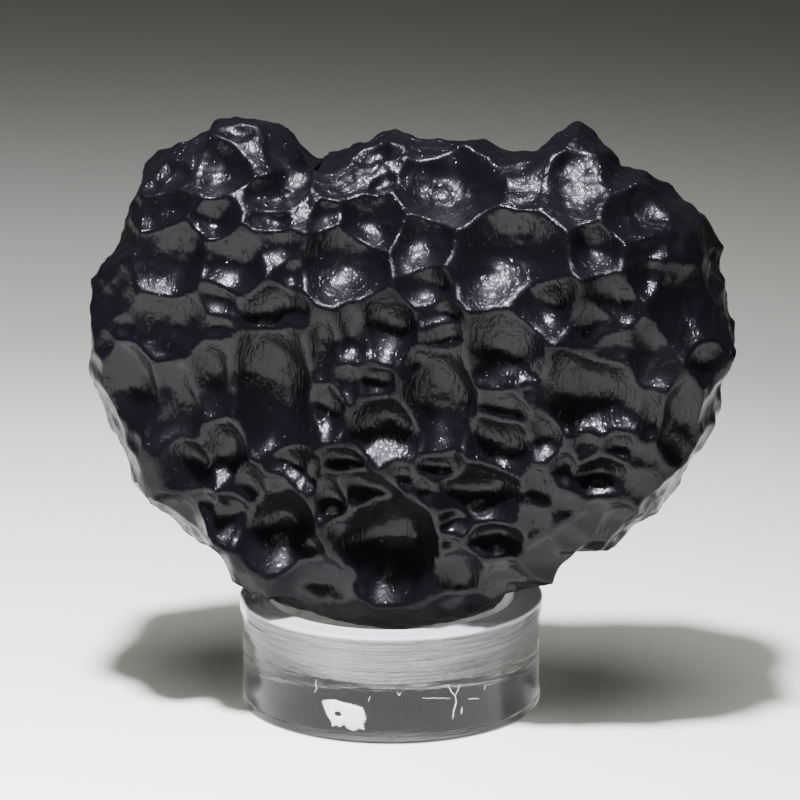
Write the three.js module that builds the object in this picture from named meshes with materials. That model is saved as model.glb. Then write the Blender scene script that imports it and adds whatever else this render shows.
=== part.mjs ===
// A tektite: a lump of black natural glass, broad and flattened, its whole skin
// eaten into round pits that meet in sharp crests. It stands on edge in a low
// clear cup, a turned plastic display stand with a tapered seat.
//
// Units are millimetres and +Z is up. The origin is the centre of the stand's
// flat underside, the broad pitted face of the stone looks along -Y, and +X is
// to the right of someone who looks at that face.

import * as THREE from 'three';
import { mergeVertices } from 'three/addons/utils/BufferGeometryUtils.js';

// ---------------------------------------------------------------- dimensions

// The display stand.
const STAND_RADIUS = 15.1; // plain wall
const STAND_HEIGHT = 10.9;
const LIP_OUT = 0.25; // the rounded lip stands this far proud of the wall
const LIP_HEIGHT = 1.6;
const FOOT_BEAD = 0.12; // the bead round the foot
const FOOT_HEIGHT = 0.9;
const EDGE_BEVEL = 0.3;
const SEAT_TOP_RADIUS = 12.5; // the tapered seat, at the top face
const SEAT_FLOOR_RADIUS = 9.0; // and at its floor
const SEAT_FLOOR_Z = 4.7;
const STAND_SEGMENTS = 48;

// The stone. Its own frame has its origin in the middle of the lump, and its
// slab lies along x until it is turned.
const STONE_CENTRE = new THREE.Vector3(2.1, 0, 33.8);
const SLAB_TURN = THREE.MathUtils.degToRad(10.8); // brings the right end forward
const FRONT_DEPTH = 14.0; // half thickness towards -Y
const BACK_DEPTH = 12.0; // half thickness towards +Y
const SQUARENESS = 2.8; // power of the section: 2 would be an ellipse
const SQUARER_BELOW = 1.0; // more of it at the foot, less at the top
const SQUARER_ENDS = 1.6; // and more at the left and right ends
const CALM_WAVES = 4; // waves of the outline that go on through the whole thickness
const RIM_POWER = 6; // how closely the outline's dips keep to the rim
const SLAB_SPREAD = new THREE.Vector3(30, 14, 27); // rough half size, to spread directions evenly
const SPHERE_DETAIL = 19; // 20 * (detail + 1)^2 triangles

// The stone's outline seen from the front: angle in degrees from +X towards +Z,
// and the distance from the middle. Two ears stand up, with a saddle between.
const OUTLINE = [
  [0, 31.2], [7.5, 32.8], [15, 32.5], [22.5, 32.4], [30, 33.8], [37.5, 31.5],
  [42, 31.1], [46, 29.7], [50, 30.4], [54, 30.7], [58, 30.4], [62, 25.9],
  [67.5, 24.9], [75, 24.8], [84, 24.1], [90, 24.0], [95, 24.8], [104, 23.4],
  [110, 23.1], [113, 23.5], [115, 22.6], [117, 25.2], [119.5, 29.2], [124, 30.9],
  [128, 31.7], [131, 31.4], [135, 32.4], [140, 33.4], [144, 33.7], [148, 32.4],
  [154, 32.0], [157.5, 31.7], [161, 32.5], [165, 32.5], [175, 32.1], [187.5, 31.0],
  [195, 30.0], [202.5, 29.9], [210, 28.2], [217.5, 27.5], [225, 25.2], [232.5, 25.1],
  [240, 26.4], [250, 25.6], [260, 25.4], [270, 25.6], [280, 24.9], [292.5, 24.8],
  [300, 23.0], [307.5, 24.4], [315, 22.9], [322.5, 26.6], [330, 27.3], [337.5, 28.8],
  [345, 29.6], [352.5, 30.7],
];

// The large pits of the front face, each one
// [x, z, half width, half height, turn in degrees, depth], with x and z as they
// are seen once the slab is turned.
// A pit's turn is anticlockwise for someone who looks at the face.
const FRONT_PITS = [
  // left ear and left shoulder
  [-18.6, 21.8, 2.7, 2.5, 30, 1.6],
  [-15.3, 22.9, 0.9, 1.6, -20, 0.5],
  [-16.8, 25.0, 1.8, 0.9, 0, 0.6],
  [-23.9, 21.0, 2.6, 1.8, 25, 0.9],
  [-24.4, 17.8, 2.7, 1.9, 15, 0.9],
  [-19.5, 17.3, 2.6, 2.1, 10, 1.5],
  [-23.5, 12.8, 3.4, 3.7, 20, 2.0],
  [-12.6, 20.4, 3.8, 2.1, 33, 1.8],
  [-13.7, 17.6, 1.7, 1.6, 0, 1.0],
  [-17.3, 13.0, 3.0, 2.6, 20, 1.6],
  [-28.6, 13.6, 1.9, 2.6, 0, 1.1],
  [-29.5, 9.2, 1.6, 2.2, 0, 0.9],
  [-8.6, 20.9, 1.9, 1.9, 0, 0.9],
  [-12.8, 14.4, 1.9, 1.9, 0, 1.0],
  [-11.6, 12.0, 1.6, 1.9, 0, 0.9],
  // the saddle at the top
  [-3.6, 23.0, 2.5, 1.2, 15, 1.2],
  [-2.6, 20.7, 1.9, 1.3, 0, 1.0],
  [-3.9, 17.3, 2.8, 2.7, 0, 1.5],
  [-8.2, 16.7, 1.9, 1.4, 10, 0.9],
  [-6.8, 13.0, 3.5, 3.2, 0, 1.8],
  [3.8, 20.6, 4.8, 3.6, 0, 2.2],
  [1.2, 15.2, 2.0, 2.6, -20, 1.0],
  // right ear and right shoulder
  [8.9, 14.6, 4.3, 4.4, -25, 2.3],
  [12.2, 10.2, 2.6, 2.5, 0, 1.7],
  [14.5, 25.0, 1.3, 0.8, 0, 0.5],
  [17.3, 24.6, 1.2, 1.9, 20, 0.8],
  [15.0, 21.5, 3.7, 3.9, 0, 1.5],
  [14.9, 23.6, 1.3, 1.2, 0, 1.3],
  [17.3, 15.4, 2.3, 2.4, 10, 1.6],
  [11.0, 21.5, 2.5, 2.7, 0, 1.1],
  [21.6, 18.3, 3.1, 2.6, 0, 1.5],
  [21.7, 22.3, 1.4, 0.9, -20, 0.5],
  [24.9, 19.2, 1.6, 1.8, 0, 0.7],
  [28.2, 16.6, 2.2, 3.4, 15, 1.0],
  [23.0, 15.2, 2.5, 1.6, 20, 1.1],
  [22.4, 12.9, 1.9, 2.4, -20, 1.5],
  [26.3, 10.2, 3.6, 4.4, 0, 2.1],
  [19.4, 10.4, 2.2, 2.0, 0, 1.1],
  [17.4, 8.2, 2.5, 1.6, 15, 0.9],
  [18.6, 6.0, 2.6, 1.6, 10, 0.9],
  [22.4, 5.8, 2.6, 3.2, 0, 1.4],
  [28.3, 4.4, 1.9, 2.0, 0, 1.2],
  [25.4, 6.3, 0.9, 1.1, 0, 0.6],
  // left side
  [-18.6, 9.2, 2.2, 1.6, 0, 1.0],
  [-18.9, 6.6, 1.7, 1.0, 0, 0.6],
  [-23.8, 6.6, 3.7, 3.4, 0, 1.7],
  [-28.3, 6.4, 1.5, 2.0, 0, 0.9],
  [-27.6, 0.2, 2.7, 3.7, 0, 1.8],
  [-22.9, -0.9, 2.4, 4.3, 5, 1.6],
  [-19.5, 1.3, 2.4, 3.9, 0, 1.8],
  [-18.6, 4.9, 1.4, 0.9, 0, 0.5],
  // middle
  [-13.6, 0.6, 4.0, 6.4, 4, 3.0],
  [-13.6, 8.3, 3.3, 2.3, 10, 1.8],
  [-8.8, 4.6, 1.6, 3.4, 0, 1.4],
  [-8.6, -0.6, 1.6, 2.2, -10, 1.3],
  [-6.1, 6.0, 1.7, 2.6, 0, 1.3],
  [-6.2, 1.9, 1.1, 1.3, 0, 0.7],
  [-2.4, 7.0, 2.3, 2.6, 0, 1.5],
  [-3.3, 2.0, 1.5, 1.6, 0, 0.9],
  [-2.6, -2.6, 3.4, 2.6, -10, 1.8],
  [2.7, 0.4, 3.2, 5.2, 0, 2.5],
  [0.4, 3.8, 1.5, 1.5, 0, 1.3],
  [2.7, 6.4, 1.9, 1.4, 0, 1.1],
  [1.6, 11.0, 1.9, 1.5, 0, 1.0],
  [2.4, 8.7, 1.8, 1.2, 0, 0.8],
  [8.2, 5.2, 3.1, 3.3, 0, 1.9],
  [11.2, 3.4, 1.5, 1.5, 0, 0.9],
  [11.1, 1.4, 0.9, 0.9, 0, 0.6],
  [8.2, 0.1, 2.8, 1.6, -15, 1.3],
  // right side
  [16.9, 1.3, 4.6, 3.7, 0, 2.4],
  [12.3, -2.8, 1.9, 2.1, 0, 1.3],
  [7.8, -3.7, 3.5, 2.5, -20, 2.0],
  [16.2, -3.5, 1.7, 1.6, 0, 1.0],
  [19.4, -3.8, 1.9, 1.5, 0, 1.0],
  [17.7, -6.7, 2.7, 2.0, 5, 1.6],
  [14.6, -5.9, 1.4, 1.7, 0, 1.0],
  [22.5, -0.6, 1.4, 2.7, 5, 1.0],
  [25.3, -1.5, 1.8, 3.5, -5, 1.5],
  [22.6, -4.7, 2.1, 1.7, 20, 0.5],
  [21.6, -7.6, 1.8, 1.4, 20, 0.4],
  // lower face
  [-21.3, -7.4, 2.1, 2.6, 15, 1.5],
  [-18.5, -6.2, 2.5, 3.2, 10, 1.8],
  [-16.2, -9.4, 2.2, 2.6, 30, 1.3],
  [-17.6, -12.2, 1.9, 1.8, 0, 1.0],
  [-20.6, -11.2, 1.7, 1.2, -20, 0.8],
  [-22.5, -12.9, 1.9, 1.6, -20, 0.8],
  [-13.2, -13.2, 3.2, 3.7, 25, 2.3],
  [-13.3, -9.0, 1.5, 1.1, 10, 0.8],
  [-12.0, -6.4, 2.3, 1.8, -15, 1.4],
  [-9.9, -7.6, 1.0, 1.5, -20, 0.8],
  [-10.3, -15.2, 1.5, 2.1, 25, 1.1],
  [-9.1, -18.6, 3.2, 2.3, -15, 1.0],
  [-6.2, -18.2, 0.9, 1.4, 15, 0.7],
  [-4.0, -9.2, 3.0, 2.0, -20, 1.6],
  [-2.4, -14.6, 4.7, 4.8, 10, 2.8],
  [-8.0, -9.9, 1.9, 2.1, 0, 1.1],
  [-6.4, -13.2, 1.7, 1.9, 0, 1.0],
  [-6.1, -5.9, 2.0, 1.2, -15, 0.9],
  [2.9, -6.2, 2.4, 1.4, -15, 1.3],
  [0.9, -8.6, 1.1, 1.2, 0, 0.7],
  [-0.9, -7.2, 1.2, 1.0, 0, 0.6],
  [6.3, -8.9, 4.1, 2.8, 12, 2.1],
  [3.9, -11.7, 1.9, 1.2, -15, 1.1],
  [3.6, -13.7, 1.4, 0.8, -20, 0.7],
  [8.0, -13.5, 2.6, 1.6, 5, 1.4],
  [4.4, -17.3, 2.1, 2.5, 0, 1.1],
  [8.6, -17.0, 2.1, 1.7, 0, 0.5],
  [11.9, -8.0, 1.8, 1.9, 0, 0.8],
  [11.4, -11.4, 1.7, 1.6, 0, 0.5],
  [14.2, -9.6, 1.9, 1.5, 0, 0.5],
  [12.6, -14.2, 1.8, 1.4, 10, 0.4],
  [17.2, -10.9, 2.2, 1.4, 20, 0.4],
  [19.6, -11.6, 1.8, 1.6, 30, 0.5],
  [20.0, -14.6, 2.0, 1.5, 30, 0.5],
  [17.0, -15.8, 2.1, 1.6, 20, 0.5],
  [13.9, -17.6, 1.9, 1.4, 10, 0.4],
  [10.2, -19.8, 2.3, 1.4, 0, 0.5],
  [5.2, -21.2, 2.6, 1.3, 0, 0.5],
  [15.4, -13.0, 1.7, 1.3, 20, 0.35],
];
const FRONT_WIDEN = 1.18; // so that neighbours meet in a crest
const FRONT_DEEPEN = 1.25;
const DEEPER_BELOW = 0.5; // more of it on the lower face,
const DEEPEST_BELOW = 12.0; // in full this far under the middle
const LOOK_DOWN = THREE.MathUtils.degToRad(13.3); // the sizes are those seen from this far above
const LEAST_SEEN = 0.6; // a size is drawn out by no more than one over this
const CREST_RISE = 1.1; // crests stand this far proud of the lump
const CREST_ROUNDING = 0.6; // how softly two pits meet
const FOOT_PLAIN = -23.5; // the pits fade out towards this height, where the lump is seated
const FOOT_BLEND = 3.5;
const FOOT_SHARE = 0.15; // of their depth is left at the very foot
const RIM_WOBBLE = 0.35; // how far the pits' rims wander off an ellipse

// The pits of the sides and the back, laid out by the golden angle and shaken.
const WRAP_COUNT = 310;
const WRAP_FROM = -0.62; // share of the way from the middle to the front face
const WRAP_SHAKE = 2.2; // over the square root of the count
const WRAP_SMALLEST = 1.9; // half width
const WRAP_SPREAD = 2.8;
const WRAP_DEPTH = 0.25; // share of the half width
const WRAP_DEEPER = 0.02; // added to it for each millimetre towards the back
const GOLDEN = (Math.sqrt(5) - 1) / 2;

// ------------------------------------------------------------ the bare lump

const TURN = 2 * Math.PI;
const WAVE_SAMPLES = 360;

// Distance of the outline from the middle at an angle, as a smooth closed curve
// through the points of OUTLINE.
function outlineRadius(angle) {
  const degrees = THREE.MathUtils.euclideanModulo(THREE.MathUtils.radToDeg(angle), 360);
  const count = OUTLINE.length;
  let start = count - 1;
  while (OUTLINE[start][0] > degrees) start -= 1;
  const next = (start + 1) % count;
  const end = next === 0 ? 360 : OUTLINE[next][0];
  const t = (degrees - OUTLINE[start][0]) / (end - OUTLINE[start][0]);
  const before = OUTLINE[(start + count - 1) % count][1];
  const a = OUTLINE[start][1];
  const b = OUTLINE[next][1];
  const after = OUTLINE[(next + 1) % count][1];
  const linear = b - before;
  const square = 2 * before - 5 * a + 4 * b - after;
  const cube = 3 * (a - b) + after - before;
  return a + 0.5 * (linear * t + square * t ** 2 + cube * t ** 3);
}

// The outline's cosine and sine parts for a number of waves round the turn.
function outlineWave(waves) {
  let cosine = 0;
  let sine = 0;
  for (let i = 0; i < WAVE_SAMPLES; i += 1) {
    const angle = (TURN * i) / WAVE_SAMPLES;
    cosine += (2 * outlineRadius(angle) * Math.cos(waves * angle)) / WAVE_SAMPLES;
    sine += (2 * outlineRadius(angle) * Math.sin(waves * angle)) / WAVE_SAMPLES;
  }
  return [cosine, sine];
}

const calmWaves = Array.from({ length: CALM_WAVES + 1 }, (_, waves) => outlineWave(waves));

// The outline without its narrow dips: only its slowest waves round the turn.
function calmRadius(angle) {
  return calmWaves.reduce((sum, [cosine, sine], waves) => (
    sum + cosine * Math.cos(waves * angle) + sine * Math.sin(waves * angle)
  ), -calmWaves[0][0] / 2);
}

// The power of the section through the thickness, at an angle of the outline.
function squareness(angle) {
  return SQUARENESS - SQUARER_BELOW * Math.sin(angle) + SQUARER_ENDS * Math.cos(angle) ** 2;
}

// 1 on the lump's skin, less inside it, more outside. The outline's dips come
// in only towards the rim, so that they leave no creases across the faces.
function lumpLevel(p) {
  const radius = Math.hypot(p.x, p.z);
  const angle = Math.atan2(p.z, p.x);
  const power = squareness(angle);
  const through = (Math.abs(p.y) / (p.y < 0 ? FRONT_DEPTH : BACK_DEPTH)) ** power;
  const calm = calmRadius(angle);
  const inCalm = (radius / calm) ** power;
  const rimShare = inCalm / (inCalm + through);
  const reach = radius / (calm + (outlineRadius(angle) - calm) * rimShare ** RIM_POWER);
  return (reach ** power + through) ** (1 / power);
}

// The point of the lump's skin in a direction from its middle.
function skinPoint(direction) {
  return direction.clone().divideScalar(lumpLevel(direction));
}

// The outward direction square to the lump's skin.
function skinNormal(p) {
  const step = 0.05;
  const slope = (axis) => {
    const move = new THREE.Vector3().setComponent(axis, step);
    return lumpLevel(p.clone().add(move)) - lumpLevel(p.clone().sub(move));
  };
  return new THREE.Vector3(slope(0), slope(1), slope(2)).normalize();
}

// The point of the front face that is seen at x, z once the slab is turned. How
// far along the slab it lies depends on its depth, so the two are found in turns.
function frontPoint(x, z) {
  const point = new THREE.Vector3(x, -FRONT_DEPTH, z);
  for (let round = 0; round < 3; round += 1) {
    point.x = (x - point.y * Math.sin(SLAB_TURN)) / Math.cos(SLAB_TURN);
    const angle = Math.atan2(z, point.x);
    const power = squareness(angle);
    const reach = Math.hypot(point.x, z) / outlineRadius(angle);
    point.y = -FRONT_DEPTH * Math.max(0, 1 - reach ** power) ** (1 / power);
  }
  return point;
}

// ------------------------------------------------------------------- pits

// A pit lies in the plane that touches the skin at its middle.
function pitAt(middle, halfWidth, halfHeight, turn, depth) {
  const out = skinNormal(middle);
  const along = new THREE.Vector3(-out.y, out.x, 0).normalize();
  const up = new THREE.Vector3().crossVectors(out, along);
  along.applyAxisAngle(out, turn);
  up.applyAxisAngle(out, turn);
  return { middle, out, along, up, halfWidth, halfHeight, depth };
}

// The way that someone looks at the front, in the slab's own frame.
const look = new THREE.Vector3(
  -Math.cos(LOOK_DOWN) * Math.sin(SLAB_TURN),
  Math.cos(LOOK_DOWN) * Math.cos(SLAB_TURN),
  -Math.sin(LOOK_DOWN));

// The share of a length along a direction that they see.
function seenShare(direction) {
  return Math.max(LEAST_SEEN, Math.sqrt(1 - direction.dot(look) ** 2));
}

// The listed pits, drawn out where the face turns away.
function frontPits() {
  return FRONT_PITS.map(([x, z, halfWidth, halfHeight, turn, depth]) => {
    const deepen = FRONT_DEEPEN + DEEPER_BELOW * THREE.MathUtils.clamp(-z / DEEPEST_BELOW, 0, 1);
    const pit = pitAt(
      frontPoint(x, z), FRONT_WIDEN * halfWidth, FRONT_WIDEN * halfHeight,
      THREE.MathUtils.degToRad(turn), deepen * depth);
    pit.halfWidth /= seenShare(pit.along);
    pit.halfHeight /= seenShare(pit.up);
    return pit;
  });
}

// A number from 0 to 1 that looks random, for an index.
function dice(index, factor) {
  return (index * GOLDEN * factor) % 1;
}

function wrapPits() {
  const pits = [];
  for (let i = 0; i < WRAP_COUNT; i += 1) {
    const height = 1 - (2 * (i + 0.5)) / WRAP_COUNT;
    const ring = Math.sqrt(1 - height ** 2);
    const angle = TURN * GOLDEN * i;
    const unit = new THREE.Vector3(ring * Math.cos(angle), ring * Math.sin(angle), height);
    const shake = new THREE.Vector3(dice(i, 2.3), dice(i, 4.9), dice(i, 9.7)).subScalar(0.5);
    unit.addScaledVector(shake, WRAP_SHAKE / Math.sqrt(WRAP_COUNT));
    if (unit.y < WRAP_FROM) continue;
    const middle = skinPoint(unit.multiply(SLAB_SPREAD));
    const halfWidth = WRAP_SMALLEST + WRAP_SPREAD * dice(i, 7.3) ** 2;
    const halfHeight = halfWidth * (0.8 + 0.5 * dice(i, 3.1));
    const depth = halfWidth * (WRAP_DEPTH + WRAP_DEEPER * Math.max(0, middle.y));
    pits.push(pitAt(middle, halfWidth, halfHeight, TURN * dice(i, 5.7), depth));
  }
  return pits;
}

// A point moved a little, by sines in mixed directions, so that no rim is a
// true ellipse.
function wandered(p) {
  const a = Math.sin(0.83 * p.x + 0.61 * p.z + 1.3 * Math.sin(0.47 * p.z - 0.29 * p.y));
  const b = Math.sin(0.71 * p.z - 0.92 * p.y + 1.1 * Math.sin(0.53 * p.x + 0.37 * p.z));
  const c = Math.sin(1.07 * p.y + 0.66 * p.x - 0.58 * p.z + 2);
  const shift = new THREE.Vector3(0.7 * b + 0.3 * c, 0.4 * a, 0.7 * a - 0.3 * c);
  return p.clone().addScaledVector(shift, RIM_WOBBLE);
}

// How far one pit eats in at a point: a bowl, deepest at the pit's middle.
function bowl(pit, p) {
  const away = p.clone().sub(pit.middle);
  const across = away.dot(pit.along) / pit.halfWidth;
  const over = away.dot(pit.up) / pit.halfHeight;
  const off = away.dot(pit.out) / (1.5 * Math.max(pit.halfWidth, pit.halfHeight));
  return pit.depth * (1 - across ** 2 - over ** 2 - off ** 2);
}

// The greater of two depths, with the corner between them rounded off.
function deeper(a, b) {
  const near = Math.max(CREST_ROUNDING - Math.abs(a - b), 0) / CREST_ROUNDING;
  return Math.max(a, b) + (CREST_ROUNDING * near ** 2) / 4;
}

// -------------------------------------------------------------- the pieces

// The stone: directions spread evenly over the lump, each carried out to the
// skin and then pushed in by the pits there.
function makeStone() {
  const pits = [...frontPits(), ...wrapPits()];
  const ball = new THREE.IcosahedronGeometry(1, SPHERE_DETAIL);
  ball.deleteAttribute('normal');
  ball.deleteAttribute('uv');
  const geometry = mergeVertices(ball, 1e-5);
  const places = geometry.getAttribute('position');
  for (let i = 0; i < places.count; i += 1) {
    const direction = new THREE.Vector3().fromBufferAttribute(places, i).multiply(SLAB_SPREAD);
    const skin = skinPoint(direction);
    const bent = wandered(skin);
    const depth = pits.reduce((sum, pit) => deeper(sum, bowl(pit, bent)), -CREST_RISE);
    const kept = THREE.MathUtils.clamp((skin.z - FOOT_PLAIN) / FOOT_BLEND, FOOT_SHARE, 1);
    const place = skin.clone().addScaledVector(skinNormal(skin), -depth * kept);
    places.setXYZ(i, place.x, place.y, place.z);
  }
  geometry.rotateZ(-SLAB_TURN);
  geometry.computeVertexNormals();
  return geometry;
}

// The stand: one turned profile, from the middle of the underside out, up the
// wall, over the lip and down the tapered seat to the middle of its floor.
function makeStand() {
  const lip = STAND_RADIUS + LIP_OUT;
  const foot = STAND_RADIUS + FOOT_BEAD;
  const lipFoot = STAND_HEIGHT - LIP_HEIGHT;
  const profile = [
    [0, 0],
    [foot - EDGE_BEVEL, 0],
    [foot, EDGE_BEVEL],
    [foot, FOOT_HEIGHT - EDGE_BEVEL],
    [STAND_RADIUS, FOOT_HEIGHT],
    [STAND_RADIUS, lipFoot],
    [lip, lipFoot + LIP_OUT],
    [lip, STAND_HEIGHT - EDGE_BEVEL],
    [lip - EDGE_BEVEL, STAND_HEIGHT],
    [SEAT_TOP_RADIUS, STAND_HEIGHT],
    [SEAT_FLOOR_RADIUS, SEAT_FLOOR_Z + EDGE_BEVEL],
    [SEAT_FLOOR_RADIUS - EDGE_BEVEL, SEAT_FLOOR_Z],
    [0, SEAT_FLOOR_Z],
  ].map(([radius, height]) => new THREE.Vector2(radius, height));
  const geometry = new THREE.LatheGeometry(profile, STAND_SEGMENTS);
  geometry.rotateX(Math.PI / 2);
  return geometry;
}

function clearPlastic() {
  return new THREE.MeshStandardMaterial({
    name: 'clear_plastic',
    color: '#dfe3e4',
    roughness: 0.15,
    metalness: 0,
    transparent: true,
    opacity: 0.4,
  });
}

function blackGlass() {
  return new THREE.MeshStandardMaterial({
    name: 'tektite_glass',
    color: '#0b0b0d',
    roughness: 0.15,
    metalness: 0,
  });
}

const stand = new THREE.Mesh(makeStand(), clearPlastic());
stand.name = 'display_stand';

const stone = new THREE.Mesh(makeStone(), blackGlass());
stone.name = 'tektite';
stone.position.copy(STONE_CENTRE);

const tektiteOnStand = new THREE.Group();
tektiteOnStand.add(stand, stone);

export default tektiteOnStand;
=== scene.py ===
# %% [markdown]
# # A tektite on its display stand
# A tektite is natural glass, flung out molten by an impact and then etched by
# the ground for some hundred thousand years. This one is a broad, flattened
# lump, black and glossy, and eaten all over into round pits that meet in thin
# crests. It stands on edge in a low, clear, turned acrylic cup.
#
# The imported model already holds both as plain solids. They are loaded first,
# and each step then builds the finished look of one of them over it. All of it
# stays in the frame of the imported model: metres, +Z up, the front towards -Y.

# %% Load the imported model
import math

import bpy
import numpy as np
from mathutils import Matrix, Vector


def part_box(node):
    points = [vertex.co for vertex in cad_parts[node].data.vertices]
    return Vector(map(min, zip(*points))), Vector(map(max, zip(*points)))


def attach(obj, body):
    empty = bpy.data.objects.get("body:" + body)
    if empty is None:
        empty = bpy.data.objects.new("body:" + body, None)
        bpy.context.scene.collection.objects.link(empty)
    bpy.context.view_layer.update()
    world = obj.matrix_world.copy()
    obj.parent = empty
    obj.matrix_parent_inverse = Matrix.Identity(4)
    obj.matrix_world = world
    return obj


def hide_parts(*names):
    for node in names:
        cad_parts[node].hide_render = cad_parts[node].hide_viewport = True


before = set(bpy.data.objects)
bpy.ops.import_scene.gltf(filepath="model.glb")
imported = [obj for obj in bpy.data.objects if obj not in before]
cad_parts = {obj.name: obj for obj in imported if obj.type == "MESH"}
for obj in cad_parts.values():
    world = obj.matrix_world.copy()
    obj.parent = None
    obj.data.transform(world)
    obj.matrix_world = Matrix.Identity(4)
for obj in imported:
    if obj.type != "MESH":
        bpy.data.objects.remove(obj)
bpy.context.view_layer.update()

STONE_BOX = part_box("tektite")
STAND_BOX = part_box("display_stand")
print("stone", STONE_BOX, "stand", STAND_BOX)

# %% [markdown]
# ## Helpers for every step
# Shapes are worked out in millimetres, as arrays with one row per point, and
# turned to metres when the mesh is made. A texture wants the opposite, cells
# in a metre, so its scale is written as cells in a millimetre times PER_MM.
# Colours are sRGB hex values, as a screen shows them, and one function turns
# them to the linear light that shaders work in.

# %% Units and colours
MM = 0.001
PER_MM = 1 / MM
TAU = 2 * math.pi


def linear(hex_colour):
    """sRGB hex to linear light: each channel over 12.92 when dark, else the 2.4 power curve."""
    channels = [int(hex_colour[i:i + 2], 16) / 255 for i in (1, 3, 5)]
    curve = [c / 12.92 if c <= 0.04045 else ((c + 0.055) / 1.055) ** 2.4 for c in channels]
    return (*curve, 1.0)


print("a grey of #808080 is", round(linear("#808080")[0], 3), "in linear light")


# %% Materials, node by node
def add_node(tree, kind, inputs=(), settings=(), **constants):
    """Add a node: settings are its properties, inputs hold links or numbers, constants numbers."""
    node = tree.nodes.new(kind)
    for name, value in dict(settings).items():
        setattr(node, name, value)
    for name, value in constants.items():
        node.inputs[name.replace("_", " ")].default_value = value
    for name, source in dict(inputs).items():
        if isinstance(source, bpy.types.NodeSocket):
            tree.links.new(node.inputs[name], source)
        else:
            node.inputs[name].default_value = source
    return node


def new_material(name):
    """A material with an empty node tree, and that tree."""
    material = bpy.data.materials.new(name)
    material.use_nodes = True
    material.node_tree.nodes.clear()
    return material, material.node_tree


print("materials before the first piece:", len(bpy.data.materials))


# %% Meshes from arrays
def mesh_piece(name, points, faces, material):
    """Put points in millimetres and faces into a smooth-shaded mesh object at the origin."""
    mesh = bpy.data.meshes.new(name)
    mesh.from_pydata((points * MM).tolist(), [], faces)
    mesh.validate()
    mesh.shade_smooth()
    mesh.materials.append(material)
    piece = bpy.data.objects.new(name, mesh)
    bpy.context.scene.collection.objects.link(piece)
    return piece


def grid_faces(rows, columns):
    """Quads of a rows by columns grid of points numbered row by row."""
    corner = (np.arange(rows - 1)[:, None] * columns + np.arange(columns - 1)).ravel()
    return np.stack([corner, corner + 1, corner + columns + 1, corner + columns], axis=1)


print("a grid of 3 by 4 points has", len(grid_faces(3, 4)), "quads")


# %% [markdown]
# ## The bare lump
# Before its pits, the stone is a slab with rounded sides. Seen from the front
# it has two ears with a saddle between them. A short list of radii at known
# angles, joined by a smooth closed curve, gives that outline, and a
# superellipse carries it through the thickness. The lump could be sculpted by
# hand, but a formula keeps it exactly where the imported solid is.
#
# The narrow dips of the outline are only bites out of the rim. Carried through
# the whole face they would crease it, so the face follows a calm outline, made
# of the slowest waves alone, and takes up the dips near the rim.

# %% The outline: an angle in degrees and a radius in mm, anticlockwise from the right
OUTLINE = np.array([
    [0, 31.2], [7.5, 32.8], [15, 32.5], [22.5, 32.4], [30, 33.8], [37.5, 31.5],
    [42, 31.1], [46, 29.7], [50, 30.4], [54, 30.7], [58, 30.4], [62, 25.9],
    [67.5, 24.9], [75, 24.8], [84, 24.1], [90, 24.0], [95, 24.8], [104, 23.4],
    [110, 23.1], [113, 23.5], [115, 22.6], [117, 25.2], [119.5, 29.2], [124, 30.9],
    [128, 31.7], [131, 31.4], [135, 32.4], [140, 33.4], [144, 33.7], [148, 32.4],
    [154, 32.0], [157.5, 31.7], [161, 32.5], [165, 32.5], [175, 32.1], [187.5, 31.0],
    [195, 30.0], [202.5, 29.9], [210, 28.2], [217.5, 27.5], [225, 25.2], [232.5, 25.1],
    [240, 26.4], [250, 25.6], [260, 25.4], [270, 25.6], [280, 24.9], [292.5, 24.8],
    [300, 23.0], [307.5, 24.4], [315, 22.9], [322.5, 26.6], [330, 27.3], [337.5, 28.8],
    [345, 29.6], [352.5, 30.7],
])


def outline_radius(angle):
    """Radius at an angle: a Catmull-Rom cubic from one outline point to the next, going round."""
    angles, radii = OUTLINE.T
    degrees = np.degrees(angle) % 360
    start = np.searchsorted(angles, degrees, side="right") - 1
    gap = np.diff(angles, append=360.0)[start]
    t = (degrees - angles[start]) / gap
    before, a, b, after = (np.roll(radii, shift)[start] for shift in (1, 0, -1, -2))
    linear_part = b - before
    square_part = 2 * before - 5 * a + 4 * b - after
    cube_part = 3 * (a - b) + after - before
    return a + 0.5 * (linear_part * t + square_part * t**2 + cube_part * t**3)


print(len(OUTLINE), "outline radii, from", OUTLINE[:, 1].min(), "to", OUTLINE[:, 1].max(), "mm")

# %% The calm outline: the slowest waves of the outline
CALM_WAVES = 4
WAVE_SAMPLES = 360
TURN_SAMPLES = np.arange(WAVE_SAMPLES) * TAU / WAVE_SAMPLES
OUTLINE_WAVES = np.fft.rfft(outline_radius(TURN_SAMPLES)) / (WAVE_SAMPLES / 2)


def calm_radius(angle):
    """The outline without its narrow dips: a sum of its first few waves round the turn."""
    total = OUTLINE_WAVES[0].real / 2
    for k in range(1, CALM_WAVES + 1):
        total = total + (OUTLINE_WAVES[k] * np.exp(1j * k * angle)).real
    return total


print("mean radius", round(OUTLINE_WAVES[0].real / 2, 2), "mm")

# %% The skin of the lump
STONE_MIDDLE = np.array([2.1, 0.0, 33.8])
FRONT_DEPTH = 14.0
BACK_DEPTH = 12.0
SQUARENESS = 2.8
SQUARER_BELOW = 1.0
SQUARER_ENDS = 1.6
RIM_POWER = 6
SLOPE_STEP = 0.05


def squareness(angle):
    """The power of the section through the thickness: lean at the top, square below and aside."""
    return SQUARENESS - SQUARER_BELOW * np.sin(angle) + SQUARER_ENDS * np.cos(angle) ** 2


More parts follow.
